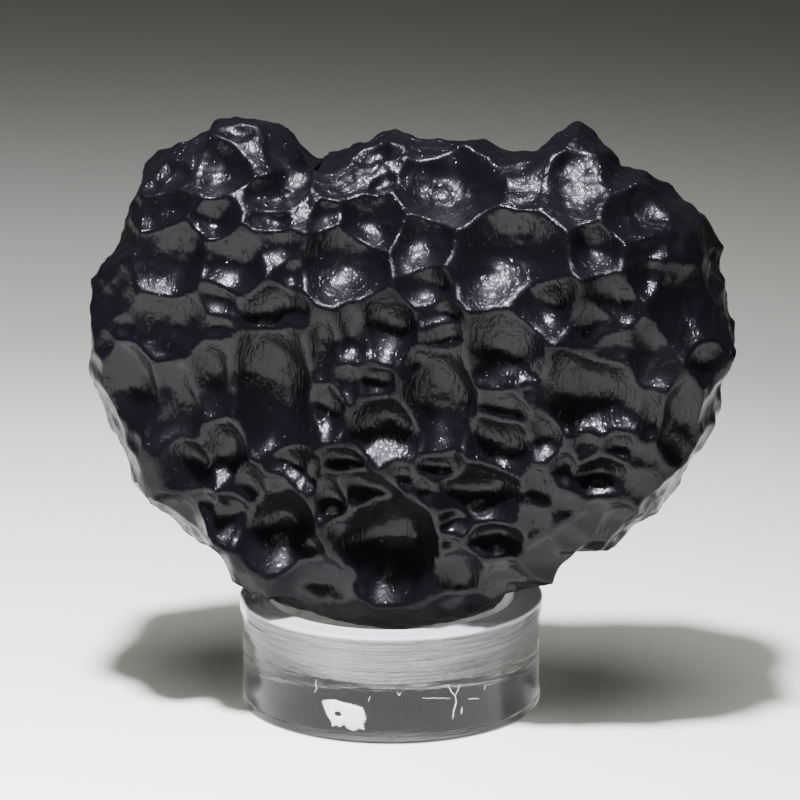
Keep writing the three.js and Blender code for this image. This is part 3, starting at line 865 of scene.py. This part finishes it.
# %% [markdown]
# ## The stand's finish
# Acrylic comes off the lathe satin, with fine rings from the tool. The wall of
# this one was polished clear, but its seat and its top face were not, so they
# look milky, and the chip is white where it is torn. All of it is one
# material: masks of radius and height tell the finishes apart, and a line
# pattern on radius plus height draws the rings.
#
# The acrylic itself is plain transmission with its real IOR of 1.49. A handled,
# finely scratched wall mirrors less than a new one, so a specular tint of grey
# tones the mirror down, and leaves the clearness as it is. A weak mix of
# coloured noise gives the faint tints that show in the wall.

# %% Sizes and places of the finishes
# A lathe leaves rings about 0.1 mm apart. These are 0.5 mm apart, so that they show.
RINGS = np.array([1.9, 0.09, 0.09]) * PER_MM
RING_DEPTH = 0.2 * MM
TINTS = 0.16 * PER_MM
GRIT = 1.4 * PER_MM
GRIT_REACH = 4 * MM
SEAT_INSIDE = (SEAT_TOP_RADIUS + 0.2) * MM
SEAT_FROM = SEAT_TOP_RADIUS * MM
SEAT_BELOW = (SEAT_FLOOR_Z - 0.4) * MM
SEAT_ABOVE = (SEAT_FLOOR_Z - 0.1) * MM
TOP_BELOW = (STAND_HEIGHT - 0.4) * MM
TOP_ABOVE = (STAND_HEIGHT - 0.2) * MM
CHIP_PLACE = np.array([-14.8, -3.1, 10.7]) * MM
TORN_WITHIN = 3.7 * MM
TORN_FADE = 0.8 * MM
TOP_MILK = 0.5
TINT_SHARE = 0.15
ACRYLIC_IOR = 1.49
print("turning rings are", round(1 / RINGS[0] / MM, 2), "mm apart")


# %% Clear acrylic, turned: polished wall, satin seat and top face
def turned_acrylic():
    """Plain transmission; satin, milk and rings follow the masks of the turned faces."""
    material, tree = new_material("turned_clear_acrylic")
    place = add_node(tree, "ShaderNodeTexCoord").outputs["Object"]
    axes = add_node(tree, "ShaderNodeSeparateXYZ", {"Vector": place})
    flat = add_node(tree, "ShaderNodeVectorMath", {0: place, 1: (1, 1, 0)},
                    {"operation": "MULTIPLY"})
    radius = add_node(tree, "ShaderNodeVectorMath", {0: flat.outputs[0]},
                      {"operation": "LENGTH"}).outputs["Value"]
    height = axes.outputs["Z"]
    inside = add_node(tree, "ShaderNodeMapRange", {"Value": radius},
                      From_Min=SEAT_INSIDE, From_Max=SEAT_FROM, To_Min=0.0, To_Max=1.0)
    above = add_node(tree, "ShaderNodeMapRange", {"Value": height},
                     From_Min=SEAT_BELOW, From_Max=SEAT_ABOVE, To_Min=0.0, To_Max=1.0)
    seat = add_node(tree, "ShaderNodeMath", {0: inside.outputs[0], 1: above.outputs[0]},
                    {"operation": "MULTIPLY"})
    top = add_node(tree, "ShaderNodeMapRange", {"Value": height},
                   From_Min=TOP_BELOW, From_Max=TOP_ABOVE, To_Min=0.0, To_Max=1.0)
    satin = add_node(tree, "ShaderNodeMath", {0: seat.outputs[0], 1: top.outputs[0]},
                     {"operation": "MAXIMUM"})
    ring = add_node(tree, "ShaderNodeMath", {0: radius, 1: height}, {"operation": "ADD"})
    lines_place = add_node(tree, "ShaderNodeCombineXYZ",
                           {"X": ring.outputs[0], "Y": axes.outputs["X"], "Z": axes.outputs["Y"]})
    lines_scaled = add_node(tree, "ShaderNodeMapping", {"Vector": lines_place.outputs[0]},
                            Scale=RINGS)
    lines = add_node(tree, "ShaderNodeTexNoise", {"Vector": lines_scaled.outputs[0]},
                     Scale=1.0, Detail=3.0)
    streaks = add_node(tree, "ShaderNodeMapRange", {"Value": lines.outputs[0]},
                       From_Min=0.4, From_Max=0.62, To_Min=0.04, To_Max=0.42)
    seat_milk = add_node(tree, "ShaderNodeMath", {0: seat.outputs[0], 1: streaks.outputs[0]},
                         {"operation": "MULTIPLY"})
    top_milk = add_node(tree, "ShaderNodeMath", {0: top.outputs[0], 1: TOP_MILK},
                        {"operation": "MULTIPLY"})
    from_chip = add_node(tree, "ShaderNodeVectorMath", {0: place, 1: CHIP_PLACE},
                         {"operation": "DISTANCE"})
    grit = add_node(tree, "ShaderNodeTexNoise", {"Vector": place}, Scale=GRIT, Detail=3.0)
    ragged = add_node(tree, "ShaderNodeMath",
                      {0: grit.outputs[0], 1: GRIT_REACH, 2: from_chip.outputs["Value"]},
                      {"operation": "MULTIPLY_ADD"})
    torn = add_node(tree, "ShaderNodeMapRange", {"Value": ragged.outputs[0]}, To_Max=1.0,
                    From_Min=TORN_WITHIN + TORN_FADE, From_Max=TORN_WITHIN, To_Min=0.0)
    milk = add_node(tree, "ShaderNodeMath", {0: seat_milk.outputs[0], 1: top_milk.outputs[0]},
                    {"operation": "MAXIMUM"})
    milk = add_node(tree, "ShaderNodeMath", {0: milk.outputs[0], 1: torn.outputs[0]},
                    {"operation": "MAXIMUM"})
    through = add_node(tree, "ShaderNodeMath", {0: 1.0, 1: milk.outputs[0]},
                       {"operation": "SUBTRACT"})
    tints = add_node(tree, "ShaderNodeTexNoise", {"Vector": place}, Scale=TINTS, Detail=2.0)
    body = add_node(tree, "ShaderNodeMix",
                    {0: TINT_SHARE, 6: linear("#fbfcfc"), 7: tints.outputs["Color"]},
                    {"data_type": "RGBA"})
    polish = add_node(tree, "ShaderNodeMapRange", {"Value": satin.outputs[0]},
                      From_Min=0.0, From_Max=1.0, To_Min=0.015, To_Max=0.35)
    ringed = add_node(tree, "ShaderNodeMapRange", {"Value": satin.outputs[0]},
                      From_Min=0.0, From_Max=1.0, To_Min=0.08, To_Max=0.9)
    bump = add_node(tree, "ShaderNodeBump", {"Height": lines.outputs[0],
                    "Strength": ringed.outputs[0]}, Distance=RING_DEPTH)
    shader = add_node(tree, "ShaderNodeBsdfPrincipled",
                      {"Normal": bump.outputs[0], "Roughness": polish.outputs[0],
                       "Base Color": body.outputs[2], "Transmission Weight": through.outputs[0]},
                      IOR=ACRYLIC_IOR, Specular_Tint=linear("#909090"))
    add_node(tree, "ShaderNodeOutputMaterial", {"Surface": shader.outputs[0]})
    return material


# %% Make the stand
stand = mesh_piece("stand_body", stand_points, spun_faces(len(stand_section)), turned_acrylic())
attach(stand, "root")
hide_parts("display_stand")
print(stand.name, "has", len(stand.data.polygons), "faces")

# %% [markdown]
# ## The crust of dried glue
# A label once stuck to the wall, and has left a white crust with a hole in it.
# It is real relief, though under a tenth of a millimetre, so it is a thin mesh
# that follows the wall, and not paint in the material. Its grid runs from the
# rim of the hole to the ragged outer rim and back behind, so that it closes on
# itself.

# %% Places on the wall
def on_wall(across, height, out):
    """A point of the wall: across in millimetres round it from the front, out from its surface."""
    turn = across / STAND_RADIUS
    reach = STAND_RADIUS + out
    return np.stack([reach * np.sin(turn), -reach * np.cos(turn), height], axis=-1)


print("front of the wall:", on_wall(np.array([0.0]), np.array([5.0]), 0.0), "mm")

# %% The crust: turn from the front in degrees, height in mm, and a rim in mm about them
CRUST_PLACE = (-17.9, 2.74)
CRUST_RIM = np.array([
    [2.25, -0.2], [2.1, 0.5], [1.85, 0.95], [0.7, 1.2], [-0.2, 1.3], [-0.9, 1.45],
    [-1.7, 1.3], [-2.2, 1.1], [-2.0, 0.5], [-1.7, -0.2], [-1.25, -0.8], [-1.1, -1.3],
    [-0.75, -1.1], [-0.35, -1.25], [0.1, -0.95], [0.5, -1.35], [1.1, -1.5], [1.6, -1.2],
    [2.1, -1.3], [2.0, -0.8],
])
HOLE_PLACE = np.array([-0.55, 0.05])
HOLE_SIZE = np.array([0.36, 0.26])
CRUST_THICKNESS = 0.07
CRUST_SUNK = 0.02
CRUST_RAGGED = 0.1
CRUST_COLUMNS = 240
CRUST_ROWS = 12


def crust():
    """Rim points joined in a loop, shrunk towards the hole by rows; thick as 1 - edge^6.

    Products of sines in odd steps make the rim ragged and the face lumpy.
    """
    loop = np.arange(CRUST_COLUMNS) * len(CRUST_RIM) / CRUST_COLUMNS
    first = loop.astype(int)
    share = (loop - first)[:, None]
    rim = CRUST_RIM[first] * (1 - share) + np.roll(CRUST_RIM, -1, axis=0)[first] * share
    ragged = 1 + CRUST_RAGGED * (np.sin(31 * loop) * np.sin(11.3 * loop + 1))[:, None]
    toward = rim - HOLE_PLACE
    hole = HOLE_PLACE + HOLE_SIZE * toward / np.linalg.norm(toward, axis=1, keepdims=True)
    front = np.linspace(0, 1, CRUST_ROWS)
    row = np.concatenate([front, front[::-1]])[:, None, None]
    plan = hole + row * (rim * ragged - hole)
    lumps = 0.75 + 0.25 * np.sin(9 * plan[..., 0]) * np.sin(11 * plan[..., 1])
    thick = CRUST_THICKNESS * (1 - (2 * row[..., 0] - 1) ** 6) * lumps
    thick[CRUST_ROWS:] = -CRUST_SUNK
    across = math.radians(CRUST_PLACE[0]) * STAND_RADIUS + plan[..., 0]
    return on_wall(across, CRUST_PLACE[1] + plan[..., 1], thick).reshape(-1, 3)


def closed_tube_faces(rows, columns):
    """Quads of a grid that closes on itself both ways."""
    row, column = np.arange(rows)[:, None], np.arange(columns)
    corner = row * columns + column
    beside = row * columns + (column + 1) % columns
    above = (row + 1) % rows * columns
    quads = np.stack([corner, beside, above + (column + 1) % columns, above + column], axis=2)
    return quads.reshape(-1, 4).tolist()


print("crust grid:", len(crust()), "points")

# %% [markdown]
# ## The scratches
# A scratch in acrylic shows by the burr of torn, white plastic along it. The
# largest forms a Y at the right. A curve object with a bevel could draw them,
# but it would not bend round the wall by itself, so each is a thin oval carried
# along a path of places on the wall, and half sunk in it.

# %% The scratches
SCRATCHES = [
    # width in mm, then turn from the front in degrees and height in mm along the stroke
    (0.10, [(21.6, 5.8), (22.9, 5.0), (24.5, 4.5)]),
    (0.08, [(26.6, 5.6), (25.9, 5.1), (24.5, 4.5)]),
    (0.16, [(24.5, 4.6), (25.1, 3.8), (24.0, 3.0), (23.6, 2.1)]),
    (0.17, [(27.5, 3.2), (27.2, 2.5)]),
    (0.05, [(11.6, 4.6), (17.0, 4.5), (22.9, 4.3)]),
    (0.06, [(30.0, 3.9), (32.0, 3.9), (35.3, 3.7)]),
    (0.07, [(-28.7, 6.0), (-29.2, 5.5), (-28.5, 5.1), (-29.8, 4.6)]),
    (0.07, [(2.4, 5.3), (3.1, 5.0), (3.8, 5.3)]),
    (0.09, [(11.2, 8.2), (11.6, 7.9)]),
    (0.06, [(38.0, 5.0), (37.4, 4.5)]),
    (0.05, [(-8.3, 4.3), (-7.6, 4.9)]),
]
STROKE_STEPS = 25
STROKE_SIDES = 8
STROKE_SHAKE = 0.03
STROKE_LEAST = 0.004


def stroke(width, path):
    """A flat oval carried along a path on the wall, thinner to its ends as the root of a sine."""
    turn, height = np.array(path).T
    s = np.linspace(0, 1, STROKE_STEPS)
    knots = np.linspace(0, 1, len(path))
    across = np.interp(s, knots, np.radians(turn) * STAND_RADIUS)
    height = np.interp(s, knots, height) + STROKE_SHAKE * np.sin(19 * s)
    run = np.stack([np.gradient(across), np.gradient(height)])
    run = run / np.linalg.norm(run, axis=0)
    half = (0.5 * width * np.sqrt(np.sin(math.pi * s)) * (0.8 + 0.2 * np.sin(31 * s)))[:, None]
    half = half + STROKE_LEAST
    around = np.arange(STROKE_SIDES) * TAU / STROKE_SIDES
    side = half * np.cos(around)
    return on_wall(across[:, None] - run[1][:, None] * side,
                   height[:, None] + run[0][:, None] * side,
                   0.5 * half * np.sin(around)).reshape(-1, 3)


def stroke_faces(first):
    """The sides of one stroke and its two end faces, numbered from its first point."""
    sides = ring_faces(STROKE_STEPS, STROKE_SIDES)
    last = (STROKE_STEPS - 1) * STROKE_SIDES
    ends = [list(range(STROKE_SIDES))[::-1], list(range(last, last + STROKE_SIDES))]
    return [[first + corner for corner in face] for face in sides + ends]


stroke_points = np.concatenate([stroke(width, path) for width, path in SCRATCHES])
per_stroke = STROKE_STEPS * STROKE_SIDES
all_strokes = [face for k in range(len(SCRATCHES)) for face in stroke_faces(k * per_stroke)]
print(len(SCRATCHES), "scratches of", per_stroke, "points each")

# %% [markdown]
# ## Dried glue and torn acrylic
# Both are matt: they scatter all their light and mirror little, which is why
# they stand out on a clear wall. One plain shader does for both, the glue a
# little whiter and rougher than the torn plastic. The floor uses it as well.

# %% Matt surfaces: chalky dried glue, torn acrylic
def matt(name, colour, roughness):
    """A plain matt surface: one colour and one roughness, with no pattern."""
    material, tree = new_material(name)
    shader = add_node(tree, "ShaderNodeBsdfPrincipled", Base_Color=linear(colour),
                      Roughness=roughness)
    add_node(tree, "ShaderNodeOutputMaterial", {"Surface": shader.outputs[0]})
    return material


wear = [
    mesh_piece("label_crust", crust(), closed_tube_faces(2 * CRUST_ROWS, CRUST_COLUMNS),
               matt("dried_label_glue", "#f6f5fa", 0.8)),
    mesh_piece("scratch_burrs", stroke_points, all_strokes,
               matt("torn_acrylic", "#dfe1e8", 0.5)),
]
for piece in wear:
    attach(piece, "root")
    print(piece.name, len(piece.data.vertices), "points")

# %% [markdown]
# ## The floor
# A sheet of matt card that runs on out of sight. It is only the stage, so it is
# one square, a hair below the stand so that no two faces share a place. It
# matters more than it seems to: black glass and clear acrylic show little but
# what they mirror, and low on the stone that is the floor.

# %% Floor of matt card
FLOOR_HALF = 2500.0
FLOOR_LOWER = 0.02
floor_corners = np.array([[x, y, 0] for x, y in ((-1, -1), (1, -1), (1, 1), (-1, 1))])
floor_corners = floor_corners * FLOOR_HALF - [0, 0, FLOOR_LOWER]
floor = mesh_piece("floor", floor_corners, [[0, 1, 2, 3]], matt("matt_card", "#e6e7d9", 0.9))
print("floor", 2 * FLOOR_HALF * MM, "m wide")

# %% [markdown]
# ## The light
# One small soft lamp hangs close above the front and gives each pit its bright
# spot, as a large one would wash over the crests. A second one in the same
# place looks away to the left and lights the floor there. A wide, weak panel
# high in front softens the shadows. The lamps are near, so the floor fades with
# distance and the far background goes grey by itself.

# %% Lamps
KEY_PLACE = np.array([-22.7, -81.0, 293.0]) * MM
KEY_AIM = np.array([-42.0, -109.0, 0.0]) * MM
SPILL_AIM = np.array([-258.0, -40.0, 0.0]) * MM
FILL_PLACE = np.array([0.0, -120.0, 420.0]) * MM
FILL_AIM = np.array([0.0, -60.0, 0.0]) * MM


def lamp(name, place, aim, size, watts, spread, colour):
    """A round soft lamp at a place, turned to look at a point."""
    data = bpy.data.lights.new(name, "AREA")
    data.shape = "DISK"
    data.size = size
    data.energy = watts
    data.spread = math.radians(spread)
    data.color = linear(colour)[:3]
    light = bpy.data.objects.new(name, data)
    light.location = place
    look = Vector(aim - place)
    light.rotation_euler = look.to_track_quat("-Z", "Y").to_euler()
    bpy.context.scene.collection.objects.link(light)
    print(name, watts, "W, from", round(look.length, 2), "m")


lamp("key_lamp", KEY_PLACE, KEY_AIM, 0.035, 1.30, 91.5, "#efeeff")
lamp("spill_lamp", KEY_PLACE, SPILL_AIM, 0.035, 1.72, 161, "#efeeff")
lamp("fill_panel", FILL_PLACE, FILL_AIM, 0.35, 0.5, 110, "#ffffff")

# %% The weak light of the room
ROOM_LIGHT = 0.065
world = bpy.data.worlds.new("studio_air")
world.use_nodes = True
world.node_tree.nodes["Background"].inputs["Color"].default_value = linear("#ffffff")
world.node_tree.nodes["Background"].inputs["Strength"].default_value = ROOM_LIGHT
bpy.context.scene.world = world
print("room light", ROOM_LIGHT)

# %% [markdown]
# ## The camera
# It stands close, looks down a little, and has a long lens, so the stone is
# hardly distorted. The focal length follows from the width that the frame takes
# in at the stone: sensor width times distance over that width.

# %% Camera
CAMERA_AIM = np.array([0.9, 0.0, 30.9]) * MM
CAMERA_PITCH = LOOK_DOWN
CAMERA_DISTANCE = 300 * MM
SEEN_WIDTH = 80 * MM
SENSOR_WIDTH = 36
camera_data = bpy.data.cameras.new("camera")
camera_data.sensor_width = SENSOR_WIDTH
camera_data.lens = SENSOR_WIDTH * CAMERA_DISTANCE / SEEN_WIDTH
camera = bpy.data.objects.new("camera", camera_data)
camera.location = CAMERA_AIM - CAMERA_DISTANCE * np.array(
    [0, math.cos(CAMERA_PITCH), -math.sin(CAMERA_PITCH)])
camera.rotation_euler = (math.pi / 2 - CAMERA_PITCH, 0, 0)
bpy.context.scene.collection.objects.link(camera)
bpy.context.scene.camera = camera
print("lens", round(camera_data.lens, 1), "mm")
